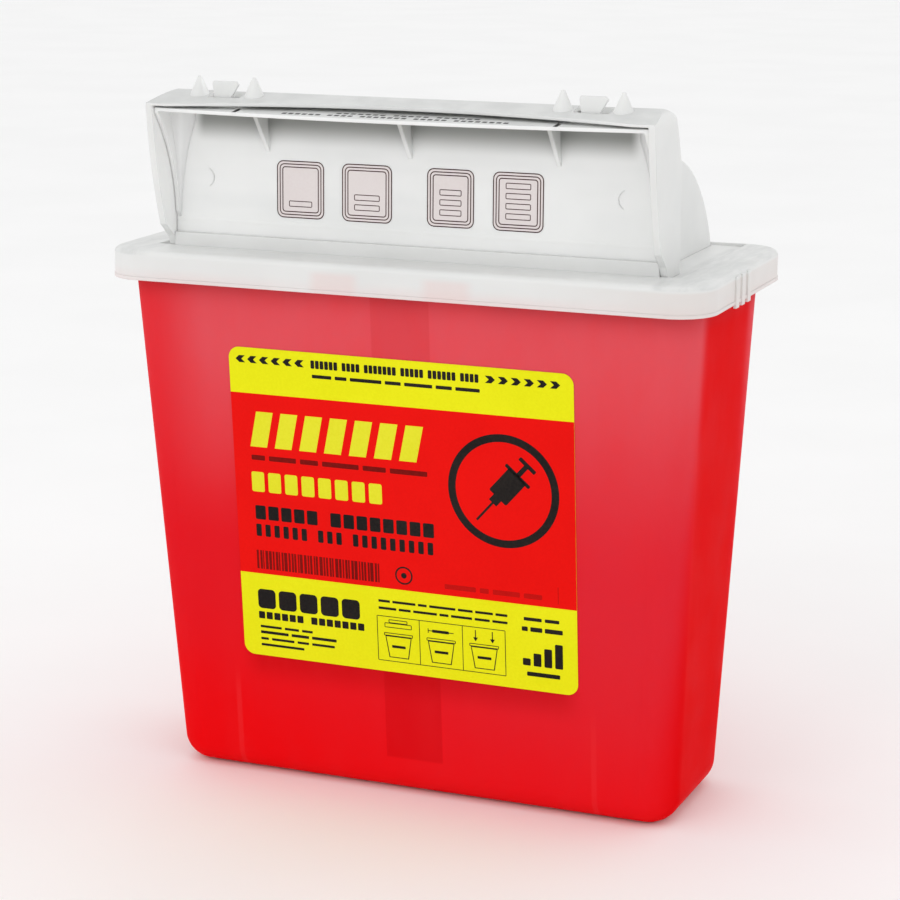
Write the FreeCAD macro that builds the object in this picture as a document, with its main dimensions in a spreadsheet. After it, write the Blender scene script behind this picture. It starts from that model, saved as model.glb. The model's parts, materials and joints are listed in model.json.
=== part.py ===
import FreeCAD, Part
import Sketcher
import math
import os

# Sharps container with a swing-down drop tray.
# +Z is up, -Y is the front, the origin is the middle of the base.
# All sizes are in millimetres.

os.makedirs("parts", exist_ok=True)
doc = FreeCAD.newDocument("sharps_container")
Vector = FreeCAD.Vector

# Driving dimensions, one row of the sheet each.
# Names that end in _y or _z are positions in the side view.
DIMENSIONS = [
    # lid rim and deck
    ("rim_width", 273.0),
    ("rim_depth", 120.65),
    ("rim_radius", 17.0),
    ("rim_bead", 0.25),
    ("bead_height", 1.5),
    ("skirt_bottom", 227.0),
    ("skirt_wall", 1.8),
    ("skirt_edge_radius", 2.6),
    ("deck_top", 240.0),
    ("deck_thickness", 3.0),
    ("recess_depth", 1.2),
    ("recess_width", 238.0),
    ("recess_front", 38.8),
    ("recess_rear", 56.9),
    ("chute_width", 201.0),
    ("chute_front", 38.2),
    ("chute_rear", 50.0),
    ("curb_width", 220.8),
    ("curb_top", 245.8),
    ("curb_wall", 1.8),
    ("rib_width", 4.2),
    ("rib_pitch", 8.4),
    ("rib_front", 19.0),
    ("rib_bottom", 225.4),
    ("rib_height", 13.2),
    ("hook_depth", 2.7),
    ("hook_height", 1.8),
    # container
    ("base_width", 236.2),
    ("base_depth", 75.0),
    ("base_shift", 2.0),
    ("mouth_width", 258.2),
    ("mouth_depth", 106.4),
    ("body_height", 237.0),
    ("body_radius", 14.5),
    ("base_edge_radius", 12.5),
    ("body_wall", 1.8),
    ("flange_width", 264.0),
    ("flange_depth", 112.2),
    ("flange_thickness", 2.0),
    ("lug_inner", 13.5),
    ("lug_outer", 37.5),
    ("lug_reach", 56.2),
    ("lug_bottom", 229.6),
    ("lug_height", 3.4),
    ("wall_rib_offset", 84.0),
    ("wall_rib_thickness", 1.6),
    ("wall_rib_bottom", 10.0),
    ("wall_rib_top", 58.0),
    # closure frame
    ("frame_width", 227.0),
    ("post_thickness", 3.0),
    ("frame_bottom", 238.8),
    ("frame_rear_y", -22.0),
    ("frame_foot_y", -38.0),
    ("frame_shin_y", -40.5),
    ("frame_shin_z", 244.2),
    ("frame_knee_y", -47.2),
    ("frame_knee_z", 250.0),
    ("bar_front_y", -57.5),
    ("bar_front_z", 303.2),
    ("bar_crest_y", -38.0),
    ("bar_crest_z", 307.4),
    ("bar_rear_y", -29.5),
    ("bar_rear_z", 303.0),
    ("frame_shoulder_z", 283.0),
    ("bar_thickness", 2.05),
    ("bar_edge_thickness", 1.2),
    ("flange_wall", 2.5),
    ("window_width", 202.4),
    ("window_top", 281.0),
    ("frame_corner_radius", 6.0),
    ("scallop_y", -49.0),
    ("scallop_radius", 638.0),
    ("guard_near", 69.4),
    ("guard_far", 95.2),
    ("guard_y", -42.5),
    ("guard_base_z", 305.4),
    ("guard_height", 8.5),
    ("guard_radius", 4.6),
    ("guard_tip_radius", 0.8),
    ("slot_near", 74.8),
    ("slot_far", 90.2),
    ("slot_front_y", -46.3),
    ("slot_rear_y", -34.3),
    # hood
    ("hood_width", 207.0),
    ("hood_wall", 1.8),
    ("hood_centre_y", -8.2),
    ("hood_centre_z", 216.6),
    ("hood_radius", 67.6),
    ("hood_end_radius", 1.5),
    # drop tray
    ("pivot_y", -34.5),
    ("pivot_z", 251.5),
    ("barrel_radius", 3.5),
    ("pin_radius", 1.8),
    ("pin_clearance", 0.05),
    ("pin_span", 224.6),
    ("pin_bore_span", 225.2),
    ("tray_width", 220.5),
    ("panel_wall", 2.0),
    ("panel_foot_y", -38.0),
    ("panel_foot_z", 245.2),
    ("panel_head_y", -36.8),
    ("lip_root_z", 301.7),
    ("lip_front_y", -66.0),
    ("lip_under_z", 298.5),
    ("lip_thickness", 1.6),
    ("lip_fillet", 4.5),
    ("lip_bow_y", -60.3),
    ("lip_bow_radius", 1358.0),
    ("trough_width", 200.0),
    ("trough_wall", 2.0),
    ("trough_radius", 29.0),
    ("baffle_tip_y", 10.5),
    ("baffle_tip_z", 220.0),
    ("web_wall", 1.8),
    ("web_foot_z", 255.0),
    ("web_foot_y", -38.9),
    ("web_head_y", -57.0),
    ("web_radius", 74.0),
    ("gusset_pitch", 66.0),
    ("gusset_wall", 1.8),
    ("gusset_tip_z", 280.6),
    ("gusset_head_y", -51.0),
    ("tab_hole_front_y", -48.6),
    ("tab_hole_rear_y", -37.2),
    ("slit_near", 70.7),
    ("slit_far", 72.5),
    ("slit_front_y", -58.0),
    ("slit_rear_y", -50.5),
    # lock tabs
    ("tab_thickness", 1.4),
    ("tab_hinge_y", -45.0),
    ("tab_hinge_z", 304.7),
    ("tab_hinge_radius", 0.75),
    ("tab_top_z", 312.3),
    ("tab_foot_width", 7.4),
    ("tab_head_width", 11.3),
    ("tab_margin", 2.7),
    # label
    ("label_width", 158.0),
    ("label_height", 142.0),
    ("label_radius", 5.0),
    ("label_thickness", 0.25),
    ("label_gap", 0.05),
    ("label_centre_x", -1.0),
    ("label_centre_z", 128.6),
]

sheet = doc.addObject("Spreadsheet::Sheet", "dimensions")
for row, (alias, value) in enumerate(DIMENSIONS, 1):
    sheet.set("A" + str(row), alias)
    sheet.set("B" + str(row), str(value))
    sheet.setAlias("B" + str(row), alias)
doc.recompute()


class Size:
    """A length that carries its value and its spreadsheet formula."""

    def __init__(self, value, text):
        self.value = value
        self.text = text

    def __add__(self, other):
        return joined(self, other, " + ", 1.0)

    def __sub__(self, other):
        return joined(self, other, " - ", -1.0)

    def __mul__(self, factor):
        return Size(self.value * factor, "(" + self.text + ") * " + str(factor))

    def __neg__(self):
        return self * -1.0


def joined(first, second, sign, factor):
    """The sum or the difference of two lengths."""
    if not isinstance(second, Size):
        second = Size(float(second), str(second))
    value = first.value + factor * second.value
    return Size(value, "(" + first.text + sign + second.text + ")")


size = {alias: Size(value, "dimensions." + alias) for alias, value in DIMENSIONS}


def new_body(name):
    """An empty body whose label is the sub-part's name."""
    body = doc.addObject("PartDesign::Body", name)
    body.Label = name
    return body


def origin_plane(body, role):
    """The body's own origin plane with this role."""
    for feature in body.Origin.OriginFeatures:
        if feature.Role == role:
            return feature
    raise ValueError(role)


def new_sketch(body, name, role, offset=None):
    """A sketch on an origin plane, moved along the plane's normal."""
    sketch = body.newObject("Sketcher::SketchObject", name)
    sketch.AttachmentSupport = [(origin_plane(body, role), "")]
    sketch.MapMode = "FlatFace"
    if offset is not None:
        sketch.AttachmentOffset = FreeCAD.Placement(Vector(0, 0, offset.value), FreeCAD.Rotation())
        sketch.setExpression("AttachmentOffset.Base.z", offset.text)
    return sketch


def bind(sketch, constraint, length):
    """Adds a constraint whose value follows the spreadsheet."""
    index = sketch.addConstraint(constraint)
    sketch.setExpression("Constraints[" + str(index) + "]", length.text)


def pin_point(sketch, geometry, point, across, up):
    """Fixes one point of the geometry at two distances from the origin."""
    bind(sketch, Sketcher.Constraint("DistanceX", -1, 1, geometry, point, across.value), across)
    bind(sketch, Sketcher.Constraint("DistanceY", -1, 1, geometry, point, up.value), up)


def arc_between(start, end, radius, bulge):
    """An arc from start to end; bulge is +1 when it bows to the right of the way there."""
    chord = end - start
    middle = (start + end) * 0.5
    right = Vector(chord.y, -chord.x, 0).normalize()
    half = chord.Length / 2
    depth = math.sqrt(radius * radius - half * half)
    centre = middle - right * (bulge * depth)
    first = math.atan2(start.y - centre.y, start.x - centre.x)
    last = math.atan2(end.y - centre.y, end.x - centre.x)
    circle = Part.Circle(centre, Vector(0, 0, 1), radius)
    if bulge > 0:
        return Part.ArcOfCircle(circle, first, last), 1, 2
    return Part.ArcOfCircle(circle, last, first), 2, 1


def outline(sketch, corners, arcs=None):
    """A closed outline through the corners; arcs maps a side to its radius and bulge."""
    arcs = arcs or {}
    points = [Vector(across.value, up.value, 0) for across, up in corners]
    sides = []
    for side, start in enumerate(points):
        end = points[(side + 1) % len(points)]
        if side in arcs:
            radius, bulge = arcs[side]
            arc, head, tail = arc_between(start, end, radius.value, bulge)
            index = sketch.addGeometry(arc, False)
            bind(sketch, Sketcher.Constraint("Radius", index, radius.value), radius)
            sides.append((index, head, tail))
        else:
            index = sketch.addGeometry(Part.LineSegment(start, end), False)
            sides.append((index, 1, 2))
    for side, (index, head, tail) in enumerate(sides):
        following, next_head, next_tail = sides[(side + 1) % len(sides)]
        sketch.addConstraint(Sketcher.Constraint("Coincident", index, tail, following, next_head))
        pin_point(sketch, index, head, corners[side][0], corners[side][1])


def rectangle(sketch, left, right, low, high):
    """A rectangle between four distances from the origin."""
    outline(sketch, [(left, low), (right, low), (right, high), (left, high)])


def centred_rectangle(sketch, width, depth, middle_y):
    """A plain rectangle about a point of the Y axis."""
    half = width * 0.5
    rectangle(sketch, -half, half, middle_y - depth * 0.5, middle_y + depth * 0.5)


def rounded_rectangle(sketch, width, depth, radius, middle_x=None, middle_y=None):
    """A rectangle with round corners about a middle point."""
    middle_x = middle_x or Size(0.0, "0")
    middle_y = middle_y or Size(0.0, "0")
    left = middle_x - width * 0.5
    right = middle_x + width * 0.5
    low = middle_y - depth * 0.5
    high = middle_y + depth * 0.5
    corners = [
        (left + radius, low),
        (right - radius, low),
        (right, low + radius),
        (right, high - radius),
        (right - radius, high),
        (left + radius, high),
        (left, high - radius),
        (left, low + radius),
    ]
    rounds = {side: (radius, 1) for side in (1, 3, 5, 7)}
    outline(sketch, corners, rounds)


def disc(sketch, across, up, radius):
    """A circle about a point."""
    circle = Part.Circle(Vector(across.value, up.value, 0), Vector(0, 0, 1), radius.value)
    index = sketch.addGeometry(circle, False)
    bind(sketch, Sketcher.Constraint("Radius", index, radius.value), radius)
    pin_point(sketch, index, 3, across, up)


def pad(body, name, sketch, length, both=False, backward=False):
    """Adds material along the sketch's normal, or equally to both sides."""
    feature = body.newObject("PartDesign::Pad", name)
    feature.Profile = sketch
    feature.SideType = "Symmetric" if both else "One side"
    feature.Reversed = backward
    feature.setExpression("Length", length.text)
    doc.recompute()
    return feature


def pocket(body, name, sketch, length, both=False, forward=False):
    """Cuts against the sketch's normal, along it, or equally to both sides."""
    before = body.Shape.Volume
    feature = body.newObject("PartDesign::Pocket", name)
    feature.Profile = sketch
    feature.SideType = "Symmetric" if both else "One side"
    feature.Reversed = forward
    feature.setExpression("Length", length.text)
    doc.recompute()
    if body.Shape.Volume > before - 0.01:
        raise ValueError(name + " cuts nothing")
    return feature


def chosen_edges(feature, wanted):
    """Names of the edges whose points all pass the test."""
    names = []
    for index, edge in enumerate(feature.Shape.Edges, 1):
        spots = edge.discretize(5)
        if all(wanted(spot) for spot in spots):
            names.append("Edge" + str(index))
    return names


def steep(feature, name):
    """True when the named edge rises by more than half of the shape's height."""
    edge = feature.Shape.getElement(name)
    rise = abs(edge.Vertexes[0].Point.z - edge.Vertexes[-1].Point.z)
    return rise > feature.Shape.BoundBox.ZLength / 2


def fillet(body, name, feature, edges, radius):
    """Rounds the named edges of the feature."""
    rounding = body.newObject("PartDesign::Fillet", name)
    rounding.Base = (feature, edges)
    rounding.setExpression("Radius", radius.text)
    doc.recompute()
    return rounding


def millimetres(value):
    """A plain length for a place that is not a driving dimension."""
    return Size(float(value), str(float(value)))


ZERO = Size(0.0, "0")


def tapered_block(body, prefix, inset, low, high):
    """A tapered block with round corners and a round lower edge, inset from the container's outside."""
    height = size["body_height"].value

    def half_width(level):
        share = 0.5 * level.value / height
        return size["base_width"] * 0.5 + (size["mouth_width"] - size["base_width"]) * share - inset

    def half_depth(level):
        share = 0.5 * level.value / height
        return size["base_depth"] * 0.5 + (size["mouth_depth"] - size["base_depth"]) * share - inset

    def shift(level):
        return size["base_shift"] * (1.0 - level.value / height)

    front_view = new_sketch(body, prefix + "_front_outline", "XZ_Plane")
    corners = [
        (-half_width(low), low),
        (half_width(low), low),
        (half_width(high), high),
        (-half_width(high), high),
    ]
    outline(front_view, corners)
    pad(body, prefix + "_blank", front_view, half_depth(high) * 2.0 + 4.0, both=True)
    side_view = new_sketch(body, prefix + "_side_outline", "YZ_Plane")
    corners = [
        (shift(low) - half_depth(low), low),
        (shift(low) + half_depth(low), low),
        (shift(high) + half_depth(high), high),
        (shift(high) - half_depth(high), high),
    ]
    outline(side_view, corners)
    rectangle(side_view, -high, high, -high, high * 2.0)
    tapered = pocket(body, prefix + "_side_cut", side_view, half_width(high) * 2.0 + 4.0, both=True)
    corners = chosen_edges(tapered, lambda spot: abs(spot.x) > 60.0 and abs(spot.y) > 28.0)
    corners = [name for name in corners if steep(tapered, name)]
    columns = fillet(body, prefix + "_corner_round", tapered, corners, size["body_radius"] - inset)
    bottom = chosen_edges(columns, lambda spot: spot.z < low.value + 0.01)
    fillet(body, prefix + "_base_round", columns, bottom, size["base_edge_radius"] - inset)


def make_container():
    """Tapered thin-walled container with a rim flange, snap lugs and two inner ribs."""
    wall = size["body_wall"]
    core = new_body("container_core")
    tapered_block(core, "core", wall, wall, size["body_height"] + 2.0)
    body = new_body("container_body")
    tapered_block(body, "container", ZERO, ZERO, size["body_height"])
    hollow = body.newObject("PartDesign::Boolean", "container_hollow")
    hollow.Type = "Cut"
    hollow.setObjects([core])
    doc.recompute()

    ring_bottom = size["body_height"] - size["flange_thickness"]
    ring = new_sketch(body, "container_flange_outline", "XY_Plane", ring_bottom)
    rounded_rectangle(ring, size["flange_width"], size["flange_depth"], size["rim_radius"])
    inner_width = size["mouth_width"] - size["body_wall"]
    inner_depth = size["mouth_depth"] - size["body_wall"]
    rounded_rectangle(ring, inner_width, inner_depth, size["body_radius"])
    pad(body, "container_flange", ring, size["flange_thickness"])

    lugs = new_sketch(body, "container_lug_outline", "XY_Plane", size["lug_bottom"])
    root = size["mouth_depth"] * 0.5 - size["body_wall"] * 0.75
    for side in (-1.0, 1.0):
        for end in (-1.0, 1.0):
            left = size["lug_inner"] * side
            right = size["lug_outer"] * side
            rectangle(lugs, left, right, root * end, size["lug_reach"] * end)
    pad(body, "container_lugs", lugs, size["lug_height"])

    slope = (size["mouth_depth"].value / 2 - size["base_depth"].value / 2 + size["base_shift"].value)
    slope = slope / size["body_height"].value
    front = size["base_shift"].value - size["base_depth"].value / 2
    depth_low = front - slope * size["wall_rib_bottom"].value
    depth_high = front - slope * size["wall_rib_top"].value
    for name, side in (("left", -1.0), ("right", 1.0)):
        station = size["wall_rib_offset"] * side
        sketch = new_sketch(body, "container_rib_" + name + "_outline", "YZ_Plane", station)
        corners = [
            (millimetres(depth_low + 1.0), size["wall_rib_bottom"]),
            (millimetres(depth_low + 4.4), size["wall_rib_bottom"]),
            (millimetres(depth_high + 3.2), size["wall_rib_top"]),
            (millimetres(depth_high + 1.0), size["wall_rib_top"]),
        ]
        outline(sketch, corners)
        pad(body, "container_rib_" + name, sketch, size["wall_rib_thickness"], both=True)
    return body


def make_lid_cap():
    """Rim skirt and deck with the chute opening, the curb and the snap hooks."""
    body = new_body("lid_cap")
    bead = new_sketch(body, "cap_bead_outline", "XY_Plane", size["skirt_bottom"])
    rounded_rectangle(bead, size["rim_width"], size["rim_depth"], size["rim_radius"])
    pad(body, "cap_bead", bead, size["bead_height"])
    skirt_width = size["rim_width"] - size["rim_bead"] * 2
    skirt_depth = size["rim_depth"] - size["rim_bead"] * 2
    skirt_radius = size["rim_radius"] - size["rim_bead"]
    skirt = new_sketch(body, "cap_skirt_outline", "XY_Plane", size["skirt_bottom"])
    rounded_rectangle(skirt, skirt_width, skirt_depth, skirt_radius)
    solid = pad(body, "cap_skirt", skirt, size["deck_top"] - size["skirt_bottom"])
    top = size["deck_top"].value
    edges = chosen_edges(solid, lambda spot: spot.z > top - 0.01)
    fillet(body, "cap_edge_round", solid, edges, size["skirt_edge_radius"])

    ribs = new_sketch(body, "cap_rib_outline", "XY_Plane", size["rib_bottom"])
    rib_root = skirt_width * 0.5 - 0.6
    rib_face = skirt_width * 0.5 + 0.7
    for side in (-1.0, 1.0):
        for step in range(3):
            front = size["rib_pitch"] * float(step) - size["rib_front"]
            rear = front + size["rib_width"]
            rectangle(ribs, rib_root * side, rib_face * side, front, rear)
    pad(body, "cap_ribs", ribs, size["rib_height"])

    hollow_width = skirt_width - size["skirt_wall"] * 2
    hollow_depth = skirt_depth - size["skirt_wall"] * 2
    hollow_radius = skirt_radius - size["skirt_wall"]
    hollow = new_sketch(body, "cap_hollow_outline", "XY_Plane", size["skirt_bottom"])
    rounded_rectangle(hollow, hollow_width, hollow_depth, hollow_radius)
    hollow_height = size["deck_top"] - size["deck_thickness"] - size["skirt_bottom"]
    pocket(body, "cap_hollow", hollow, hollow_height, forward=True)

    recess = new_sketch(body, "cap_recess_outline", "XY_Plane", size["deck_top"])
    half_recess = size["recess_width"] * 0.5
    rectangle(recess, -half_recess, half_recess, -size["recess_front"], size["recess_rear"])
    pocket(body, "cap_recess", recess, size["recess_depth"])
    chute = new_sketch(body, "cap_chute_outline", "XY_Plane", size["deck_top"])
    half_chute = size["chute_width"] * 0.5
    rectangle(chute, -half_chute, half_chute, -size["chute_front"], size["chute_rear"])
    pocket(body, "cap_chute", chute, size["deck_thickness"] + 1.0)

    curb = new_sketch(body, "cap_curb_outline", "XY_Plane", size["deck_top"] - 1.5)
    half_curb = size["curb_width"] * 0.5
    curb_front = size["chute_front"] + size["curb_wall"]
    rectangle(curb, -half_curb, half_curb, -curb_front, -size["chute_front"])
    pad(body, "cap_curb", curb, size["curb_top"] - size["deck_top"] + 1.5)

    hooks = new_sketch(body, "cap_hook_outline", "XY_Plane", size["skirt_bottom"] + 0.4)
    hook_root = hollow_depth * 0.5 + 0.4
    hook_face = hollow_depth * 0.5 - size["hook_depth"]
    for side in (-1.0, 1.0):
        for end in (-1.0, 1.0):
            near = (size["lug_inner"] - 3.0) * side
            far = (size["lug_outer"] + 3.0) * side
            rectangle(hooks, near, far, hook_face * end, hook_root * end)
    pad(body, "cap_hooks", hooks, size["hook_height"])
    return body


def make_hood():
    """Half-drum cover behind the tray, open to the front and down into the chute."""
    body = new_body("hood")
    radius = size["hood_radius"].value
    centre_y = size["hood_centre_y"].value
    centre_z = size["hood_centre_z"].value
    front_y = size["frame_rear_y"].value
    foot_z = size["frame_bottom"].value

    def arc_ends(drum):
        """Crown height at the frame and heel depth at the deck for a drum of this radius."""
        crown_z = centre_z + math.sqrt(drum ** 2 - (front_y - centre_y) ** 2)
        heel_y = centre_y + math.sqrt(drum ** 2 - (foot_z - centre_z) ** 2)
        return millimetres(crown_z), millimetres(heel_y)

    skin = new_sketch(body, "hood_outline", "YZ_Plane")
    crown, heel = arc_ends(radius)
    corners = [
        (size["frame_rear_y"], size["frame_bottom"]),
        (heel, size["frame_bottom"]),
        (size["frame_rear_y"], crown),
    ]
    outline(skin, corners, {1: (size["hood_radius"], 1)})
    solid = pad(body, "hood_blank", skin, size["hood_width"], both=True)
    half = size["hood_width"].value / 2

    def on_end_arc(spot):
        """True on the curved edge of either end."""
        off_centre = math.hypot(spot.y - centre_y, spot.z - centre_z)
        return abs(abs(spot.x) - half) < 0.01 and abs(off_centre - radius) < 0.01

    edges = chosen_edges(solid, on_end_arc)
    fillet(body, "hood_end_round", solid, edges, size["hood_end_radius"])
    hollow = new_sketch(body, "hood_hollow_outline", "YZ_Plane")
    inner = size["hood_radius"] - size["hood_wall"]
    crown, heel = arc_ends(inner.value)
    front = size["frame_rear_y"] - 5.0
    foot = size["frame_bottom"] - 5.0
    corners = [
        (front, foot),
        (heel, foot),
        (heel, size["frame_bottom"]),
        (size["frame_rear_y"], crown),
        (front, crown),
    ]
    outline(hollow, corners, {2: (inner, 1)})
    pocket(body, "hood_hollow", hollow, size["hood_width"] - size["hood_wall"] * 2, both=True)
    return body


def make_closure_frame():
    """Two posts and a top bar in front of the hood, with tab slots and guard cones."""
    body = new_body("closure_frame")
    half = size["frame_width"] * 0.5
    radius = size["frame_corner_radius"]
    roof = size["bar_crest_z"] + 0.2
    front_view = new_sketch(body, "frame_front_outline", "XZ_Plane", -size["frame_rear_y"])
    corners = [
        (-half, size["frame_bottom"]),
        (half, size["frame_bottom"]),
        (half, roof - radius),
        (half - radius, roof),
        (-half + radius, roof),
        (-half, roof - radius),
    ]
    outline(front_view, corners, {2: (radius, 1), 4: (radius, 1)})
    pad(body, "frame_blank", front_view, size["frame_rear_y"] - size["bar_front_y"] + 1.0)
    side_view = new_sketch(body, "frame_side_outline", "YZ_Plane")
    corners = [
        (size["frame_rear_y"], size["frame_bottom"]),
        (size["frame_rear_y"], size["frame_shoulder_z"]),
        (size["bar_rear_y"], size["bar_rear_z"]),
        (size["bar_crest_y"], size["bar_crest_z"]),
        (size["bar_front_y"], size["bar_front_z"]),
        (size["frame_knee_y"], size["frame_knee_z"]),
        (size["frame_shin_y"], size["frame_shin_z"]),
        (size["frame_foot_y"], size["frame_bottom"]),
    ]
    arcs = {2: (millimetres(8.5), 1), 4: (millimetres(226.0), 1)}
    outline(side_view, corners, arcs)
    around = size["frame_width"]
    rectangle(side_view, -around, around, size["frame_bottom"] - around, size["frame_bottom"] + around)
    pocket(body, "frame_side_cut", side_view, size["frame_width"] + 4.0, both=True)

    under_crest = size["bar_crest_z"] - size["bar_thickness"]
    under_edge = size["bar_front_z"] - size["bar_edge_thickness"]
    run = size["bar_crest_y"].value - size["bar_front_y"].value
    under_front = under_edge - (under_crest - under_edge).value / run * 10.0
    inner = new_sketch(body, "frame_inner_outline", "YZ_Plane")
    corners = [
        (size["frame_rear_y"] - size["flange_wall"], size["frame_bottom"] - 5.0),
        (size["frame_rear_y"] - size["flange_wall"], size["frame_shoulder_z"]),
        (size["bar_rear_y"] - size["flange_wall"], size["bar_rear_z"] - 1.0),
        (size["bar_crest_y"], under_crest),
        (size["bar_front_y"] - 10.0, under_front),
        (size["bar_front_y"] - 10.0, size["frame_bottom"] - 5.0),
    ]
    outline(inner, corners, {2: (millimetres(8.0), 1)})
    pocket(body, "frame_inner", inner, size["frame_width"] - size["post_thickness"] * 2, both=True)

    window = new_sketch(body, "frame_window_outline", "XZ_Plane")
    half_window = size["window_width"] * 0.5
    rectangle(window, -half_window, half_window, size["frame_bottom"] - 5.0, size["window_top"])
    pocket(body, "frame_window", window, millimetres(40.0), forward=True)

    above = size["bar_crest_z"] + 6.0
    scallop = new_sketch(body, "frame_scallop_outline", "XY_Plane", above)
    disc(scallop, ZERO, size["scallop_y"] - size["scallop_radius"], size["scallop_radius"])
    pocket(body, "frame_scallop", scallop, millimetres(14.0))
    slots = new_sketch(body, "frame_slot_outline", "XY_Plane", above)
    for side in (-1.0, 1.0):
        near = size["slot_near"] * side
        far = size["slot_far"] * side
        rectangle(slots, near, far, size["slot_front_y"], size["slot_rear_y"])
    pocket(body, "frame_slots", slots, millimetres(14.0))

    pins = new_sketch(body, "frame_pivot_outline", "YZ_Plane")
    disc(pins, size["pivot_y"], size["pivot_z"], size["pin_radius"] + size["pin_clearance"])
    pocket(body, "frame_pivot_bores", pins, size["pin_bore_span"], both=True)

    stations = (("far_left", -1.0, "guard_far"), ("near_left", -1.0, "guard_near"))
    stations += (("near_right", 1.0, "guard_near"), ("far_right", 1.0, "guard_far"))
    for name, side, offset in stations:
        cone = body.newObject("PartDesign::AdditiveCone", "frame_guard_" + name)
        cone.AttachmentSupport = [(origin_plane(body, "XY_Plane"), "")]
        cone.MapMode = "FlatFace"
        cone.setExpression("Radius1", size["guard_radius"].text)
        cone.setExpression("Radius2", size["guard_tip_radius"].text)
        cone.setExpression("Height", size["guard_height"].text)
        cone.setExpression("AttachmentOffset.Base.x", (size[offset] * side).text)
        cone.setExpression("AttachmentOffset.Base.y", size["guard_y"].text)
        cone.setExpression("AttachmentOffset.Base.z", size["guard_base_z"].text)
    doc.recompute()
    return body


def make_drop_tray():
    """Swinging tray: front panel, lift lip, hinge barrel, trough ends and rear baffle."""
    body = new_body("drop_tray")
    section = new_sketch(body, "tray_panel_outline", "YZ_Plane")
    corners = [
        (size["panel_foot_y"], size["panel_foot_z"]),
        (size["panel_foot_y"] + size["panel_wall"], size["panel_foot_z"]),
        (size["panel_head_y"] + size["panel_wall"], size["lip_root_z"] + size["lip_thickness"]),
        (size["lip_front_y"], size["lip_under_z"] + size["lip_thickness"]),
        (size["lip_front_y"], size["lip_under_z"]),
        (size["panel_head_y"], size["lip_root_z"]),
    ]
    outline(section, corners)
    panel = pad(body, "tray_panel", section, size["tray_width"], both=True)
    head_y = size["panel_head_y"].value
    root_z = size["lip_root_z"].value
    edges = chosen_edges(panel, lambda spot: math.hypot(spot.y - head_y, spot.z - root_z) < 0.01)
    fillet(body, "tray_lip_round", panel, edges, size["lip_fillet"])

    barrel = new_sketch(body, "tray_barrel_outline", "YZ_Plane")
    disc(barrel, size["pivot_y"], size["pivot_z"], size["barrel_radius"])
    pad(body, "tray_barrel", barrel, size["tray_width"], both=True)
    pins = new_sketch(body, "tray_pin_outline", "YZ_Plane")
    disc(pins, size["pivot_y"], size["pivot_z"], size["pin_radius"])
    pad(body, "tray_pins", pins, size["pin_span"], both=True)

    reach = size["baffle_tip_y"].value - size["pivot_y"].value
    drop = size["baffle_tip_z"].value - size["pivot_z"].value
    length = math.hypot(reach, drop)
    half_wall = size["trough_wall"].value / 2
    normal_y = -drop / length * half_wall
    normal_z = reach / length * half_wall
    baffle = new_sketch(body, "tray_baffle_outline", "YZ_Plane")
    corners = [
        (size["pivot_y"] - normal_y, size["pivot_z"] - normal_z),
        (size["baffle_tip_y"] - normal_y, size["baffle_tip_z"] - normal_z),
        (size["baffle_tip_y"] + normal_y, size["baffle_tip_z"] + normal_z),
        (size["pivot_y"] + normal_y, size["pivot_z"] + normal_z),
    ]
    outline(baffle, corners)
    pad(body, "tray_baffle", baffle, size["trough_width"], both=True)

    arc_start = Vector(size["pivot_y"].value - 1.0, size["pivot_z"].value, 0)
    rise = math.sqrt(size["trough_radius"].value ** 2 - 1.0)
    turn = math.radians(10.0)
    arc_y = size["pivot_y"].value + size["trough_radius"].value * math.cos(turn)
    arc_z = size["pivot_z"].value + size["trough_radius"].value * math.sin(turn)
    for name, side in (("left", -1.0), ("right", 1.0)):
        middle = (size["trough_width"] * 0.5 - size["trough_wall"] * 0.5) * side
        end = new_sketch(body, "tray_end_" + name + "_outline", "YZ_Plane", middle)
        corners = [
            (size["pivot_y"], size["pivot_z"]),
            (size["baffle_tip_y"] - 1.0, size["baffle_tip_z"] + 1.6),
            (millimetres(arc_y), millimetres(arc_z)),
            (millimetres(arc_start.x), millimetres(arc_start.y + rise)),
        ]
        outline(end, corners, {2: (size["trough_radius"], 1)})
        pad(body, "tray_end_" + name, end, size["trough_wall"], both=True)
        middle = (size["tray_width"] * 0.5 - size["web_wall"] * 0.5) * side
        web = new_sketch(body, "tray_web_" + name + "_outline", "YZ_Plane", middle)
        corners = [
            (size["panel_foot_y"] + 1.0, size["web_foot_z"] - 3.0),
            (size["panel_head_y"] + 1.0, size["lip_root_z"] + 0.8),
            (size["web_head_y"], size["lip_under_z"] + 1.8),
            (size["web_foot_y"], size["web_foot_z"]),
        ]
        outline(web, corners, {2: (size["web_radius"], -1)})
        pad(body, "tray_web_" + name, web, size["web_wall"], both=True)

    for name, place in (("left", -1.0), ("middle", 0.0), ("right", 1.0)):
        station = size["gusset_pitch"] * place
        gusset = new_sketch(body, "tray_gusset_" + name + "_outline", "YZ_Plane", station)
        corners = [
            (size["panel_head_y"] + 0.8, size["gusset_tip_z"]),
            (size["panel_head_y"] + 0.8, size["lip_root_z"] + 0.5),
            (size["gusset_head_y"], size["lip_under_z"] + 2.2),
        ]
        outline(gusset, corners)
        pad(body, "tray_gusset_" + name, gusset, size["gusset_wall"], both=True)

    above = size["lip_root_z"] + 6.0
    holes = new_sketch(body, "tray_hole_outline", "XY_Plane", above)
    for side in (-1.0, 1.0):
        near = size["slot_near"] * side
        far = size["slot_far"] * side
        rectangle(holes, near, far, size["tab_hole_front_y"], size["tab_hole_rear_y"])
        near = size["slit_near"] * side
        far = size["slit_far"] * side
        rectangle(holes, near, far, size["slit_front_y"], size["slit_rear_y"])
    pocket(body, "tray_tab_holes", holes, millimetres(12.0))

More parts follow.
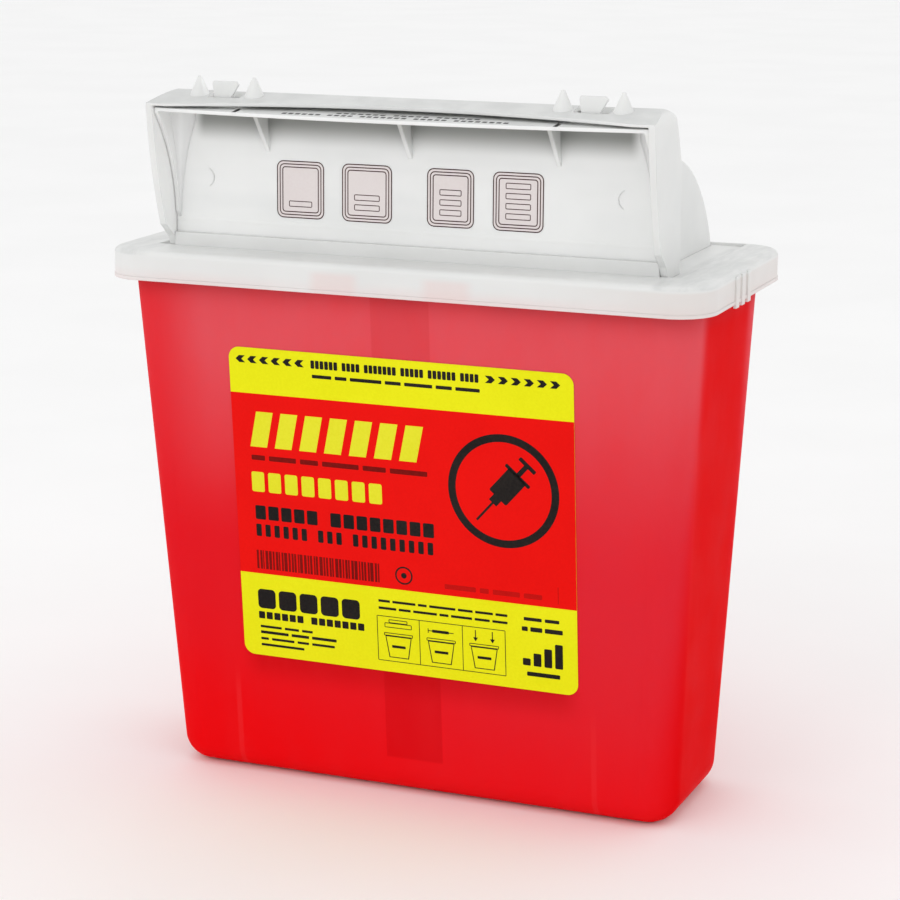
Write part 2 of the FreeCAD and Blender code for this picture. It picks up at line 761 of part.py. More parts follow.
    bow = new_sketch(body, "tray_bow_outline", "XY_Plane", above)
    span = size["tray_width"].value / 2 + 2.0
    sweep = size["lip_bow_radius"].value
    edge = size["lip_bow_y"].value + sweep - math.sqrt(sweep ** 2 - span ** 2)
    corners = [
        (millimetres(-span), size["lip_front_y"] - 2.0),
        (millimetres(span), size["lip_front_y"] - 2.0),
        (millimetres(span), millimetres(edge)),
        (millimetres(-span), millimetres(edge)),
    ]
    outline(bow, corners, {2: (size["lip_bow_radius"], -1)})
    pocket(body, "tray_bow", bow, millimetres(14.0))
    return body


def make_lock_tab(name, left):
    """Flap that stands at the front of its slot and is pressed down through it."""
    body = new_body(name)
    face = new_sketch(body, name + "_outline", "XZ_Plane", -size["tab_hinge_y"])
    corners = [
        (left, size["tab_hinge_z"]),
        (left + size["tab_foot_width"], size["tab_hinge_z"]),
        (left + size["tab_head_width"], size["tab_top_z"] - 1.4),
        (left + size["tab_head_width"] - 0.9, size["tab_top_z"]),
        (left - 0.3, size["tab_top_z"]),
        (left - 0.8, size["tab_top_z"] - 0.8),
    ]
    outline(face, corners)
    pad(body, name + "_flap", face, size["tab_thickness"], both=True)
    middle = left + size["tab_foot_width"] * 0.5
    barrel = new_sketch(body, name + "_barrel_outline", "YZ_Plane", middle)
    disc(barrel, size["tab_hinge_y"], size["tab_hinge_z"], size["tab_hinge_radius"])
    pad(body, name + "_barrel", barrel, size["tab_foot_width"], both=True)
    return body


def make_label():
    """Thin printed label that lies on the sloping front wall."""
    body = new_body("front_label")
    face = new_sketch(body, "label_outline", "XY_Plane", size["label_gap"])
    rounded_rectangle(face, size["label_width"], size["label_height"], size["label_radius"])
    pad(body, "label_film", face, size["label_thickness"])
    top_y = -size["mouth_depth"].value / 2
    base_y = size["base_shift"].value - size["base_depth"].value / 2
    height = size["body_height"].value
    share = size["label_centre_z"].value / height
    lean = math.degrees(math.atan2(base_y - top_y, height))
    middle = Vector(size["label_centre_x"].value, base_y + (top_y - base_y) * share, size["label_centre_z"].value)
    body.Placement = FreeCAD.Placement(middle, FreeCAD.Rotation(Vector(1, 0, 0), 90.0 + lean))
    return body


sub_parts = [
    make_container(),
    make_lid_cap(),
    make_hood(),
    make_closure_frame(),
    make_drop_tray(),
    make_lock_tab("lock_tab_left", -size["slot_far"] + size["tab_margin"] + 0.8),
    make_lock_tab("lock_tab_right", size["slot_near"] + size["tab_margin"] + 0.8),
    make_label(),
]
doc.recompute()

for item in doc.Objects:
    if "Invalid" in item.State or "Error" in item.State:
        raise RuntimeError(item.Name + " failed: " + str(item.State))
for body in sub_parts:
    if body.Shape.isNull() or not body.Shape.isValid():
        raise RuntimeError(body.Label + " has no valid shape")
    if len(body.Shape.Solids) != 1:
        raise RuntimeError(body.Label + " is not one solid")

for body in sub_parts:
    body.Shape.exportStep("parts/" + body.Label + ".step")
    box = body.Shape.BoundBox
    print(body.Label, round(body.Shape.Volume / 1000.0, 2), "cm3", round(box.XMin, 2), round(box.XMax, 2),
          round(box.YMin, 2), round(box.YMax, 2), round(box.ZMin, 2), round(box.ZMax, 2))
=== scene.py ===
import json
import math

import bmesh
import bpy
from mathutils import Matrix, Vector
from mathutils.bvhtree import BVHTree


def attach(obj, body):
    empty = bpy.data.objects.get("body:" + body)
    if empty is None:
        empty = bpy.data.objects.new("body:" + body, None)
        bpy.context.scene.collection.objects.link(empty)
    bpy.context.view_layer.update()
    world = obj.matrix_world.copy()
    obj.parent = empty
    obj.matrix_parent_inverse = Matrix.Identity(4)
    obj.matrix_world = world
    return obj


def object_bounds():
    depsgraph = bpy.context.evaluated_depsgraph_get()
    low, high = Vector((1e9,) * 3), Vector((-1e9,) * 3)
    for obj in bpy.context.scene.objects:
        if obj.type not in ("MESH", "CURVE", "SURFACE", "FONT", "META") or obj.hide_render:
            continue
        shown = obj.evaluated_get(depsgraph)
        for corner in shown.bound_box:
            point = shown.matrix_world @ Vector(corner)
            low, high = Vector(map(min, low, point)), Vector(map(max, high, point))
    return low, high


# Looks of a sharps container with a swing-down drop tray.
# Metres; +Z is up, -Y is the front, the origin is the middle of the base.

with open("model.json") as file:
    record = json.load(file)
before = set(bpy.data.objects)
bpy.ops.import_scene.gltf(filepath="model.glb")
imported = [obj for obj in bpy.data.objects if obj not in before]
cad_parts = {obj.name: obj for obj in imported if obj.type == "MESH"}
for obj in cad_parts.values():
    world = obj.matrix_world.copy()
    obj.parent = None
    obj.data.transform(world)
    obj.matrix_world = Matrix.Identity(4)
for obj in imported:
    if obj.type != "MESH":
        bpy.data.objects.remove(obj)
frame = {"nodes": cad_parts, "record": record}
CAD_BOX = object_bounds()
NODES = frame["nodes"]
MM = 0.001

# Heights and places of CAD shapes that the tints of the plastics follow, in metres.
SKIRT_BOTTOM = 0.2270
SKIRT_TOP = 0.2380
LUG_MIDDLE = 0.0255
SLIT_MIDDLE = 0.0716
LIP_UPPER = 0.3012
PANEL_FRONT = -0.0380
INNER_RIB = 0.0845
LABEL_MIDDLE = -0.001
LABEL_BOTTOM = 0.0595

# A printed plate stands this far out, each further layer adds a step, and its back is sunk in.
INK_HEIGHT = 0.04 * MM
INK_STEP = 0.035 * MM
INK_SUNK = 0.02 * MM

scene = bpy.context.scene


# ---------------------------------------------------------------- materials

class Graph:
    """Short calls for building one node material."""

    def __init__(self, name):
        self.material = bpy.data.materials.new(name)
        self.material.use_nodes = True
        self.tree = self.material.node_tree
        self.shader = self.tree.nodes["Principled BSDF"]
        coordinates = self.tree.nodes.new("ShaderNodeTexCoord")
        self.place = coordinates.outputs["Object"]
        split = self.tree.nodes.new("ShaderNodeSeparateXYZ")
        self.link(self.place, split.inputs[0])
        self.x, self.y, self.z = split.outputs

    def link(self, source, target):
        self.tree.links.new(source, target)

    def feed(self, socket, value):
        """Links an output to a socket, or sets a plain value on it."""
        if isinstance(value, bpy.types.NodeSocket):
            self.link(value, socket)
        else:
            socket.default_value = value

    def noise(self, scale, detail=2.0, roughness=0.5, place=None):
        node = self.tree.nodes.new("ShaderNodeTexNoise")
        self.link(place or self.place, node.inputs["Vector"])
        node.inputs["Scale"].default_value = scale
        node.inputs["Detail"].default_value = detail
        node.inputs["Roughness"].default_value = roughness
        return node.outputs["Fac"]

    def stretched(self, across, deep, up):
        """Object coordinates scaled along each axis."""
        node = self.tree.nodes.new("ShaderNodeMapping")
        self.link(self.place, node.inputs["Vector"])
        node.inputs["Scale"].default_value = (across, deep, up)
        return node.outputs["Vector"]

    def ramp(self, value, low, high, out_low=0.0, out_high=1.0):
        """Maps a value softly from one range to another, clamped."""
        node = self.tree.nodes.new("ShaderNodeMapRange")
        node.interpolation_type = "SMOOTHSTEP"
        self.feed(node.inputs["Value"], value)
        node.inputs["From Min"].default_value = low
        node.inputs["From Max"].default_value = high
        node.inputs["To Min"].default_value = out_low
        node.inputs["To Max"].default_value = out_high
        return node.outputs["Result"]

    def math(self, operation, first, second=0.0):
        node = self.tree.nodes.new("ShaderNodeMath")
        node.operation = operation
        self.feed(node.inputs[0], first)
        self.feed(node.inputs[1], second)
        return node.outputs[0]

    def product(self, first, *others):
        """All the values multiplied together."""
        for other in others:
            first = self.math("MULTIPLY", first, other)
        return first

    def distance(self, value, middle=0.0):
        """How far a value is from the middle, on either side."""
        if middle:
            value = self.math("SUBTRACT", value, middle)
        return self.math("ABSOLUTE", value)

    def facing(self):
        """The three parts of the surface's direction."""
        node = self.tree.nodes.new("ShaderNodeNewGeometry")
        split = self.tree.nodes.new("ShaderNodeSeparateXYZ")
        self.link(node.outputs["Normal"], split.inputs[0])
        return split.outputs

    def mix(self, share, first, second):
        """Mixes two colours, or two outputs, by a share."""
        node = self.tree.nodes.new("ShaderNodeMix")
        node.data_type = "RGBA"
        self.feed(node.inputs["Factor"], share)
        self.feed(node.inputs["A"], first)
        self.feed(node.inputs["B"], second)
        return node.outputs["Result"]

    def bump(self, height, distance, strength=1.0, below=None):
        node = self.tree.nodes.new("ShaderNodeBump")
        node.inputs["Strength"].default_value = strength
        node.inputs["Distance"].default_value = distance
        self.feed(node.inputs["Height"], height)
        if below is not None:
            self.link(below, node.inputs["Normal"])
        return node.outputs["Normal"]

    def rounded(self, radius):
        """A normal that rounds sharp edges to this radius."""
        node = self.tree.nodes.new("ShaderNodeBevel")
        node.samples = 6
        node.inputs["Radius"].default_value = radius
        return node.outputs["Normal"]

    def upward(self):
        """1 on faces that look up, 0 on walls."""
        return self.ramp(self.facing()[2], 0.6, 0.95)

    def inward(self):
        """1 on end walls that look towards the middle of the container."""
        return self.ramp(self.product(self.facing()[0], self.x), -0.085, -0.055, 1.0, 0.0)

    def line(self, value, middle, half):
        """1 within half of the middle, soft to 0 at its edge."""
        return self.ramp(self.distance(value, middle), half * 0.5, half, 1.0, 0.0)

    def set(self, **values):
        for name, value in values.items():
            self.feed(self.shader.inputs[name.replace("_", " ")], value)


def white_plastic(name, level=0.0, dust_and_top_shade=0.3, blush=0.0, lip=False, painted_glow=0.0):
    """Natural white polypropylene: satin, faintly cloudy, with a fine moulded grain; faces that look up are
    greyed by dusting and painted shade, and end walls that look inward may get painted light.
    """
    g = Graph(name)
    cloud = g.noise(22.0, 3.0)
    streak = g.noise(60.0, 2.0, place=g.stretched(0.25, 1.0, 1.0))
    first = (0.755 + level, 0.76 + level, 0.75 + level, 1.0)
    second = (0.795 + level, 0.80 + level, 0.79 + level, 1.0)
    body = g.mix(g.ramp(cloud, 0.3, 0.7), first, second)
    body = g.mix(g.ramp(streak, 0.45, 0.75, 0.0, 0.25), body, (0.72, 0.735, 0.73, 1.0))
    # Dusting with painted shade: faces that look up are mixed towards grey.
    painted_light_haze = g.product(g.upward(), g.ramp(g.noise(90.0, 3.0), 0.25, 0.75, 0.6, 1.0), dust_and_top_shade)
    body = g.mix(painted_light_haze, body, (0.44, 0.45, 0.445, 1.0))
    ripple = g.noise(180.0, 3.0)
    # Painted light: end walls that look towards the middle are brightened.
    if painted_glow:
        body = g.mix(g.product(g.inward(), painted_glow), body, (0.97, 0.975, 0.965, 1.0))
    if blush:
        body, ripple = lid_tints(g, body, ripple, blush)
    if lip:
        body = lip_painted_shade(g, body)
    grain = g.noise(2600.0, 2.0)
    normal = g.bump(ripple, 0.00010, 0.4, g.rounded(0.0006))
    normal = g.bump(grain, 0.00003, 0.4, normal)
    g.set(Base_Color=body, Normal=normal, Roughness=g.ramp(g.noise(75.0, 3.0), 0.3, 0.7, 0.32, 0.46))
    g.set(Subsurface_Weight=0.30, Subsurface_Scale=0.0025, Subsurface_Radius=(1.0, 1.0, 0.95))
    g.set(Specular_IOR_Level=0.35, IOR=1.49)
    return g.material


def lid_tints(g, body, ripple, blush):
    """Red shining through the skirt and over the lugs, and the deck's wavy moulded ends with painted shade
    in their grey streaks.
    """
    warm = g.product(g.ramp(g.x, 0.06, 0.134, 0.0, 0.42), g.ramp(g.z, 0.2365, SKIRT_TOP, 1.0, 0.0))
    body = g.mix(warm, body, (0.70, 0.62, 0.59, 1.0))
    edge = g.ramp(g.z, SKIRT_BOTTOM - 0.001, SKIRT_BOTTOM + 0.007, blush, 0.0)
    edge = g.product(edge, g.ramp(g.noise(14.0, 2.0), 0.35, 0.65, 0.3, 1.0))
    body = g.mix(edge, body, (0.80, 0.58, 0.56, 1.0))
    patch = g.line(g.distance(g.x), LUG_MIDDLE, 0.0135)
    patch = g.product(patch, g.ramp(g.z, 0.234, 0.2375, 1.0, 0.0), 0.5)
    body = g.mix(patch, body, (0.80, 0.63, 0.61, 1.0))
    ends = g.product(g.ramp(g.distance(g.x), 0.112, 0.116), g.ramp(g.z, 0.2375, 0.2386))
    wavy = g.noise(260.0, 3.0, place=g.stretched(1.0, 0.22, 1.0))
    # Painted shade: grey streaks on the wavy deck ends, besides their bump.
    body = g.mix(g.product(ends, g.ramp(wavy, 0.35, 0.65, 0.15, 0.5)), body, (0.57, 0.58, 0.575, 1.0))
    return body, g.math("ADD", ripple, g.product(ends, wavy, 6.0))


def lip_painted_shade(g, body):
    """Painted shade on the panel and its gussets beneath the lip, and a painted shadow on the walls of the
    lip's two slits.
    """
    shade = g.product(
        g.ramp(g.z, 0.2845, 0.2960),
        g.ramp(g.z, LIP_UPPER, LIP_UPPER + 0.0008, 1.0, 0.0),
        g.ramp(g.y, PANEL_FRONT - 0.0015, PANEL_FRONT, 0.55, 1.0),
        g.ramp(g.y, PANEL_FRONT + 0.0017, PANEL_FRONT + 0.0021, 1.0, 0.0),
        g.ramp(g.y, -0.0535, -0.0505),
        g.ramp(g.distance(g.x), 0.096, 0.102, 1.0, 0.0),
    )
    body = g.mix(shade, body, (0.30, 0.305, 0.29, 1.0))
    # Painted shadow: the walls of the lip's two slits are darkened nearly to black.
    painted_slit_shadow = g.product(
        g.ramp(g.distance(g.distance(g.x), SLIT_MIDDLE), 0.00096, 0.00106, 1.0, 0.0),
        g.ramp(g.y, -0.0506, -0.0504, 1.0, 0.0),
        g.ramp(g.y, -0.0583, -0.0581),
        g.ramp(g.z, 0.297, 0.298),
        0.9,
    )
    return g.mix(painted_slit_shadow, body, (0.02, 0.02, 0.02, 1.0))


def red_plastic(name):
    """Translucent red polypropylene: deep below, with a painted pale pink sheen rising towards the rim,
    painted shade beneath the skirt, a painted shadow beneath the label, and flow marks.
    """
    g = Graph(name)
    drift = g.product(g.math("SUBTRACT", g.noise(9.0, 3.0), 0.5), 0.05)
    height = g.math("ADD", g.z, drift)
    broad = g.ramp(g.distance(g.y), 0.022, 0.040)
    front = g.ramp(g.y, -0.03, -0.02, 1.0, 0.0)
    colour = g.mix(g.ramp(height, 0.01, 0.09), (0.88, 0.002, 0.003, 1.0), (0.78, 0.005, 0.008, 1.0))

    # Painted sheen: the broad faces turn a paler pink higher up and towards the right.
    painted_sheen_veil = g.product(g.ramp(height, 0.0, 0.11, 0.35, 1.0), g.ramp(g.x, -0.11, 0.09, 0.35, 1.0), broad)
    colour = g.mix(painted_sheen_veil, colour, (0.74, 0.022, 0.036, 1.0))
    # Painted sheen: a stronger pale pink near the rim, less at the left edge.
    painted_light_haze = g.product(g.ramp(height, 0.11, 0.215), broad, g.ramp(g.x, -0.118, -0.088, 0.3, 1.0))
    colour = g.mix(painted_light_haze, colour, (0.77, 0.088, 0.108, 1.0))
    side = g.product(g.ramp(g.distance(g.x), 0.104, 0.117), g.math("SUBTRACT", 1.0, broad))
    colour = g.mix(side, colour, (0.74, 0.001, 0.003, 1.0))

    band = g.product(g.ramp(g.distance(g.x, 0.001), 0.0130, 0.0137, 1.0, 0.0), front)
    band = g.product(band, g.ramp(g.z, 0.0165, 0.018), g.ramp(g.z, 0.05, 0.21, 0.40, 0.22))
    colour = g.mix(band, colour, (0.56, 0.001, 0.003, 1.0))
    # Painted shadow: a soft dark band on the red just beneath the label's lower edge.
    painted_label_shadow = g.product(g.ramp(g.distance(g.x, LABEL_MIDDLE), 0.070, 0.082, 1.0, 0.0), front)
    painted_label_shadow = g.product(painted_label_shadow, g.ramp(g.z, 0.042, LABEL_BOTTOM - 0.001, 0.0, 0.45))
    painted_label_shadow = g.product(painted_label_shadow, g.ramp(g.z, LABEL_BOTTOM - 0.0005, LABEL_BOTTOM + 0.0005, 1.0, 0.0))
    colour = g.mix(painted_label_shadow, colour, (0.40, 0.002, 0.002, 1.0))
    shade = g.product(g.ramp(g.z, 0.214, 0.228), 0.35)
    colour = g.mix(shade, colour, (0.52, 0.03, 0.035, 1.0))
    rib = g.product(g.line(g.distance(g.x), INNER_RIB, 0.0016), front, g.ramp(g.z, 0.035, 0.055, 0.3, 0.0))
    colour = g.mix(rib, colour, (0.86, 0.04, 0.045, 1.0))
    flow = g.noise(70.0, 4.0, place=g.stretched(1.0, 1.0, 0.35))
    colour = g.mix(g.ramp(flow, 0.4, 0.75, 0.0, 0.14), colour, (0.80, 0.02, 0.025, 1.0))

    normal = g.bump(g.noise(55.0, 2.0), 0.0002, 0.4)
    normal = g.bump(g.noise(1900.0, 3.0), 0.00004, 0.5, normal)
    g.set(Base_Color=colour, Normal=normal, Roughness=g.ramp(g.noise(40.0, 3.0), 0.3, 0.7, 0.36, 0.48))
    g.set(Subsurface_Weight=0.25, Subsurface_Scale=0.004, Subsurface_Radius=(1.0, 0.10, 0.08))
    g.set(Specular_IOR_Level=0.004, IOR=1.49)
    return g.material


def film(name, first, second):
    """Printed, laminated film: two close shades of an ink over a faint paper fibre."""
    g = Graph(name)
    fibre = g.noise(900.0, 4.0)
    cloud = g.noise(35.0, 2.0)
    share = g.math("ADD", g.product(fibre, 0.5), g.product(cloud, 0.5))
    g.set(Base_Color=g.mix(g.ramp(share, 0.35, 0.65), first, second))
    normal = g.bump(g.noise(30.0, 2.0), 0.00015, 0.3)
    g.set(Normal=g.bump(fibre, 0.00001, 0.4, normal))
    g.set(Roughness=g.ramp(cloud, 0.3, 0.7, 0.34, 0.46))
    g.set(Specular_IOR_Level=0.08)
    return g.material


def floor_paper(name):
    """Pale studio paper."""
    g = Graph(name)
    mottle = g.noise(6.0, 3.0)
    g.set(Base_Color=g.mix(g.ramp(mottle, 0.3, 0.7), (0.94, 0.94, 0.94, 1.0), (0.96, 0.96, 0.96, 1.0)))
    g.set(Roughness=g.ramp(g.noise(400.0, 3.0), 0.3, 0.7, 0.75, 0.9))
    g.set(Normal=g.bump(g.noise(700.0, 3.0), 0.0001, 0.2))
    return g.material


MATERIALS = {
    "red_shell": red_plastic("red_shell_pp"),
    "white_lid": white_plastic("white_lid_pp", dust_and_top_shade=0.0, blush=0.45),
    "white_hood": white_plastic("white_hood_pp", dust_and_top_shade=0.12),
    "white_frame": white_plastic("white_frame_pp", dust_and_top_shade=0.52, painted_glow=0.8),
    "white_tray": white_plastic("white_tray_pp", level=0.085, dust_and_top_shade=0.6, lip=True, painted_glow=0.8),
    "white_tab": white_plastic("white_tab_pp"),
    "label": film("label_yellow", (0.80, 0.79, 0.004, 1.0), (0.84, 0.83, 0.007, 1.0)),
}
SLOT_OF = {item["node"]: item["material_slot"] for item in frame["record"]["subparts"]}
for node_name, node in NODES.items():
    for slot in node.material_slots:
        slot.material = MATERIALS[SLOT_OF[node_name]]


INKS = {
    "red": film("ink_red", (0.80, 0.002, 0.0005, 1.0), (0.84, 0.003, 0.001, 1.0)),
    "yellow": film("ink_yellow", (0.76, 0.74, 0.02, 1.0), (0.80, 0.78, 0.03, 1.0)),
    "black": film("ink_black", (0.010, 0.008, 0.008, 1.0), (0.020, 0.016, 0.014, 1.0)),
    "dark": film("ink_dark_red", (0.16, 0.002, 0.001, 1.0), (0.22, 0.004, 0.002, 1.0)),
    "faint": film("ink_faint_red", (0.50, 0.002, 0.001, 1.0), (0.55, 0.004, 0.002, 1.0)),
    "maroon": film("ink_maroon", (0.030, 0.004, 0.005, 1.0), (0.050, 0.006, 0.007, 1.0)),
    "pink": film("ink_pink", (0.77, 0.70, 0.69, 1.0), (0.79, 0.73, 0.72, 1.0)),
    "grey": film("ink_grey", (0.06, 0.06, 0.06, 1.0), (0.10, 0.10, 0.10, 1.0)),
}


# ---------------------------------------------------------------- print

# Drawings are in millimetres: across is X, along is Z from the front or Y from above.

def box(left, low, right, high, radius=0.0):
    """A rectangle, with round corners if a radius is given."""
    if radius <= 0.0:
        return [(left, low), (right, low), (right, high), (left, high)]
    centres = [
        (right - radius, low + radius, -90.0),
        (right - radius, high - radius, 0.0),
        (left + radius, high - radius, 90.0),
        (left + radius, low + radius, 180.0),
    ]
    points = []
    for across, along, start in centres:
        for step in range(6):
            turn = math.radians(start + step * 18.0)
            points.append((across + radius * math.cos(turn), along + radius * math.sin(turn)))
    return points


def slanted(left, low, right, high, lean):
    """A rectangle whose upper side is moved to the right."""
    return [(left, low), (right, low), (right + lean, high), (left + lean, high)]


def circle(across, along, radius, sides=48):
    turns = [2.0 * math.pi * step / sides for step in range(sides)]
    return [(across + radius * math.cos(turn), along + radius * math.sin(turn)) for turn in turns]


def turned(points, across, along, degrees):
    """The points turned about a centre."""
    cosine = math.cos(math.radians(degrees))
    sine = math.sin(math.radians(degrees))
    result = []
    for x, y in points:
        x -= across
        y -= along
        result.append((across + x * cosine - y * sine, along + x * sine + y * cosine))
    return result


def chevron(left, middle, length, height, direction):
    """A swallow-tailed arrow block that points to the right, or to the left for -1."""
    half = height / 2.0
    shape = [(0.0, half), (0.62, half), (1.0, 0.0), (0.62, -half), (0.0, -half), (0.38, 0.0)]
    if direction < 0:
        shape = [(1.0 - share, rise) for share, rise in shape]
    return [(left + share * length, middle + rise) for share, rise in shape]


def surface(node):
    """Ray-cast tree of a CAD node in the row frame."""
    cad = NODES[node]
    points = [cad.matrix_world @ vertex.co for vertex in cad.data.vertices]
    return BVHTree.FromPolygons(points, [face.vertices[:] for face in cad.data.polygons])


class Print:
    """Thin inked plates that lie on one CAD node, drawn from the front or from above."""

    def __init__(self, name, node, body, material, level=0, above=False):
        self.name = name
        self.body = body
        self.material = material
        self.above = above
        self.lift = INK_HEIGHT + INK_STEP * level
        self.bm = bmesh.new()
        self.tree = surface(node)

    def point(self, place, lift):
        """The place on the surface, raised towards the viewer."""
        across, along = place
        if self.above:
            start = Vector((across * MM, along * MM, 0.5))
            heading = Vector((0.0, 0.0, -1.0))
        else:
            start = Vector((across * MM, -0.5, along * MM))
            heading = Vector((0.0, 1.0, 0.0))
        hit = self.tree.ray_cast(start, heading)[0]
        if hit is None:
            raise ValueError(self.name + " misses its surface at " + str(place))
        return self.bm.verts.new(hit - heading * lift)

    def plate(self, outer, inner=None):
        """A closed plate of this outline; inner is a hole with as many points."""
        count = len(outer)
        top = [self.point(place, self.lift) for place in outer]
        low = [self.point(place, -INK_SUNK) for place in outer]
        if inner is None:
            self.bm.faces.new(top)
            self.bm.faces.new(list(reversed(low)))
            walls = [(top, low)]
        else:
            inner_top = [self.point(place, self.lift) for place in inner]
            inner_low = [self.point(place, -INK_SUNK) for place in inner]
            walls = [(top, low), (inner_low, inner_top), (inner_top, top), (low, inner_low)]
        for first, second in walls:
            for step in range(count):
                after = (step + 1) % count
                self.bm.faces.new((first[step], second[step], second[after], first[after]))

    def frame(self, left, low, right, high, line, radius=0.6):
        """A rectangular outline of this line width."""
        inner = box(left + line, low + line, right - line, high - line, max(radius - line, 0.05))
        self.plate(box(left, low, right, high, radius), inner)

    def row(self, left, right, low, high, words, gap=0.22, radius=0.12):
        """Plain blocks in groups, spread from left to right."""
        pitch = (right - left) / (sum(words) + 0.8 * (len(words) - 1))
        start = left
        for count in words:
            for step in range(count):
                edge = start + pitch * step
                shape = box(edge, low, edge + pitch * (1.0 - gap), high, radius * (high - low))
                self.plate(shape)
            start += pitch * (count + 0.8)

    def bars(self, left, right, low, high, words):
        """One bar for each group of a line that is too small to show more."""
        pitch = (right - left) / (sum(words) + 0.9 * (len(words) - 1))
        start = left
        for count in words:
            self.plate(box(start, low, start + pitch * count, high, 0.2 * (high - low)))
            start += pitch * (count + 0.9)

    def done(self):
        """The finished piece, riding on its body."""
        bmesh.ops.recalc_face_normals(self.bm, faces=self.bm.faces)
        mesh = bpy.data.meshes.new(self.name)
        self.bm.to_mesh(mesh)
        self.bm.free()
        mesh.materials.append(self.material)
        piece = bpy.data.objects.new(self.name, mesh)
        scene.collection.objects.link(piece)
        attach(piece, self.body)
        return piece


def print_label():
    """Red field, rows of plain blocks and pictograms on the yellow front label."""
    field = Print("label_field", "front_label", "container", INKS["red"])
    field.plate(box(-79.98, 96.5, 77.98, 179.0))
    field.done()

    yellow = Print("label_yellow_marks", "front_label", "container", INKS["yellow"], 1)
    for step in range(7):
        left = -71.8 + step * 11.75
        yellow.plate(slanted(left, 155.0, left + 8.0, 171.0, 3.6))
    yellow.row(-72.0, -8.0, 134.5, 143.6, [8], 0.24, 0.1)
    yellow.done()

    dark = Print("label_dark_marks", "front_label", "container", INKS["dark"], 1)
    dark.bars(-71.5, 11.5, 149.0, 151.2, [3, 6, 4, 8, 5, 8])
    edge = -71.5
    step = 0
    while edge < -12.9:
        width = 0.42 + 0.30 * (1.0 + math.sin(step * 2.3)) + 0.25 * (1.0 + math.sin(step * 5.1))
        dark.plate(box(edge, 98.8, edge + width, 107.4))
        edge += width + 0.32 + 0.24 * (1.0 + math.sin(step * 3.7 + 1.0))
        step += 1
    dark.done()

    faint = Print("label_faint_marks", "front_label", "container", INKS["faint"], 1)
    faint.bars(18.0, 62.5, 99.4, 101.6, [7, 2, 6, 4])
    faint.plate(box(69.6, 98.4, 69.9, 106.0))
    faint.done()

    black = Print("label_black_marks", "front_label", "container", INKS["black"], 1)
    for step in range(6):
        black.plate(chevron(-76.7 + step * 5.6, 194.2, 4.4, 3.1, -1))
        black.plate(chevron(39.0 + step * 5.75, 194.2, 4.4, 3.1, 1))
    black.row(-41.0, 36.5, 192.4, 196.0, [6, 4, 7, 5, 6, 4])
    black.bars(-40.6, 36.5, 188.2, 189.7, [5, 3, 8, 4, 7, 4, 6])
    black.row(-71.0, 15.0, 121.8, 128.2, [5, 8], 0.20, 0.1)
    black.row(-71.0, 15.0, 114.0, 119.6, [6, 3, 9], 0.42, 0.1)
    black.plate(circle(-1.0, 103.2, 4.1), circle(-1.0, 103.2, 3.4))
    black.plate(circle(-1.0, 103.2, 1.3))
    black.row(-72.0, -21.0, 80.2, 89.2, [5], 0.16, 0.2)
    black.row(-72.0, -20.0, 75.3, 78.6, [6, 7], 0.22, 0.1)
    black.bars(-71.5, -46.0, 71.0, 72.1, [6, 4, 3])
    black.bars(-71.5, -34.5, 68.2, 69.5, [8, 5, 7])
    black.bars(-71.5, -35.5, 65.3, 66.4, [2, 6, 3, 6])
    black.bars(-71.5, -50.5, 62.4, 63.5, [9])
    black.bars(-13.5, 46.5, 89.9, 91.0, [4, 8, 3, 9, 5, 6, 4])
    black.bars(-13.5, 46.5, 86.6, 87.7, [6, 4, 8, 3, 7, 5, 5])
    black.bars(54.0, 70.0, 89.4, 90.9, [5, 4])
    black.bars(53.0, 71.5, 84.6, 86.6, [2, 4, 6])
    for step in range(4):
        left = 53.2 + step * 4.9
        black.plate(box(left, 69.0, left + 3.5, 72.2 + step * 2.6, 0.5))
    black.bars(55.0, 70.0, 64.3, 66.2, [8])
    draw_emblem(black, 46.0, 146.0)
    draw_steps(black)
    black.done()


def draw_emblem(drawing, across, along):
    """A ring round a plain slanted syringe."""
    drawing.plate(circle(across, along, 25.0, 96), circle(across, along, 21.6, 96))
    parts = [
        box(-5.0, -4.0, 5.0, 10.0, 0.8),
        box(-1.1, 10.0, 1.1, 15.6),
        box(-4.6, 15.6, 4.6, 17.4, 0.5),
        box(-7.0, 9.0, 7.0, 10.6, 0.5),
        box(-2.2, -7.4, 2.2, -4.0),
        box(-0.5, -18.4, 0.5, -7.4),
    ]
    for part in parts:
        shape = [(across + x, along + y) for x, y in part]
        drawing.plate(turned(shape, across, along, -42.0))


def draw_steps(drawing):
    """Three cells with a lid above a tub, a syringe above a tub, and arrows onto a closed tub."""
    drawing.frame(-14.6, 62.7, 45.4, 83.6, 0.28, 0.4)
    for across in (5.3, 25.4):
        drawing.plate(box(across, 62.9, across + 0.28, 83.4))
    for across in (-4.6, 15.5, 35.5):
        tub = [(-4.6, 64.6), (4.6, 64.6), (6.2, 74.6), (-6.2, 74.6)]
        hole = [(-4.25, 64.95), (4.25, 64.95), (5.8, 74.25), (-5.8, 74.25)]
        drawing.plate([(across + x, y) for x, y in tub], [(across + x, y) for x, y in hole])
        drawing.frame(across - 6.8, 74.6, across + 6.8, 76.0, 0.3, 0.4)
        drawing.bars(across - 3.2, across + 3.2, 69.2, 70.4, [6])
    drawing.frame(-11.0, 78.4, 1.8, 80.6, 0.3, 0.5)
    drawing.frame(-9.0, 80.6, -0.2, 82.2, 0.3, 0.4)
    drawing.plate(box(11.4, 78.6, 19.2, 79.9, 0.3))
    drawing.plate(box(19.2, 79.1, 21.4, 79.4))
    drawing.plate(box(9.6, 79.1, 11.4, 79.4))
    drawing.plate(box(9.4, 78.2, 9.7, 80.3))
    for across in (31.6, 39.4):
        drawing.plate(box(across - 0.2, 78.6, across + 0.2, 82.2))
        drawing.plate([(across - 1.1, 78.8), (across, 77.0), (across + 1.1, 78.8)])


